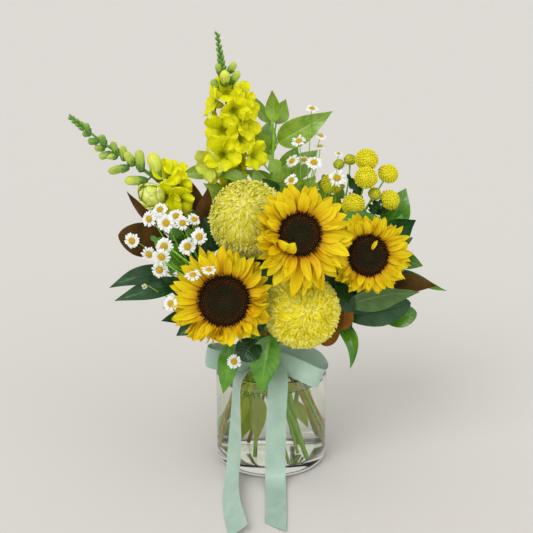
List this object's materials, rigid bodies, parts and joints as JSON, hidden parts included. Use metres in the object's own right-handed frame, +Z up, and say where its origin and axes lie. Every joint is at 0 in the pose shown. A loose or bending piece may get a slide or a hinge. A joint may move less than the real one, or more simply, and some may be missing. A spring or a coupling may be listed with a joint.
{
  "type": "sunflowers in a vase",
  "caption": "Ribbon-tied bunch of sunflowers with chrysanthemums, snapdragons, feverfew and foliage, standing in a cylindrical glass vase of water.",
  "frame": {"origin": "centre of the vase's flat underside, on the surface that it stands on", "axes": "+Z up; -Y towards the front of the bunch, where the sunflowers face; +X to the right as seen from the front"},
  "size_m": [0.4525, 0.3288, 0.5417],
  "materials": {
    "vase_glass": "clear heavy glass, polished",
    "water": "clear water, faintly green",
    "ribbon_satin": "mint green satin, soft sheen",
    "petal_gold": "golden yellow petals, orange-brown at the root",
    "disc_dark": "dark brown florets round a near-black centre",
    "mum_cream": "pale lemon-cream petals",
    "mum_lemon": "lemon yellow petals with pale tips",
    "button_yellow": "bright yellow quilled florets",
    "snapdragon_yellow": "lime yellow, velvety",
    "snapdragon_green": "fresh green stem and buds",
    "feverfew_white": "white rays round a yolk yellow eye, green stalks",
    "stem_green": "fresh green, slightly ridged",
    "leaf_bright": "glossy mid green, pale veins",
    "leaf_dark": "dark green, waxy shine",
    "leaf_brown": "brown suede underside of an evergreen leaf"
  },
  "bodies": {
    "root": {"button_pom_1": "button_yellow", "button_pom_2": "button_yellow", "button_pom_3": "button_yellow", "button_pom_4": "button_yellow", "button_pom_5": "button_yellow", "button_pom_6": "button_yellow", "button_pom_7": "button_yellow", "button_pom_8": "button_yellow", "button_pom_9": "button_yellow", "button_spray": "stem_green", "feverfew_front": "feverfew_white", "feverfew_left": "feverfew_white", "feverfew_side": "feverfew_white", "feverfew_top": "feverfew_white", "greens_back": "leaf_dark", "greens_left": "leaf_bright", "greens_middle": "leaf_dark", "greens_top": "leaf_bright", "lemon_leaf_front": "leaf_bright", "lemon_leaf_right": "leaf_bright", "magnolia_left": "leaf_brown", "magnolia_low": "leaf_dark", "magnolia_right": "leaf_dark", "mum_lower_head": "mum_lemon", "mum_lower_stem": "stem_green", "mum_upper_head": "mum_cream", "mum_upper_stem": "stem_green", "ribbon": "ribbon_satin", "snapdragon_leaning_flowers": "snapdragon_yellow", "snapdragon_leaning_stem": "snapdragon_green", "snapdragon_upright_flowers": "snapdragon_yellow", "snapdragon_upright_stem": "snapdragon_green", "sunflower_left_disc": "disc_dark", "sunflower_left_petals": "petal_gold", "sunflower_left_stem": "stem_green", "sunflower_middle_disc": "disc_dark", "sunflower_middle_petals": "petal_gold", "sunflower_middle_stem": "stem_green", "sunflower_right_disc": "disc_dark", "sunflower_right_petals": "petal_gold", "sunflower_right_stem": "stem_green", "vase": "vase_glass", "water": "water"}
  },
  "joints": []
}
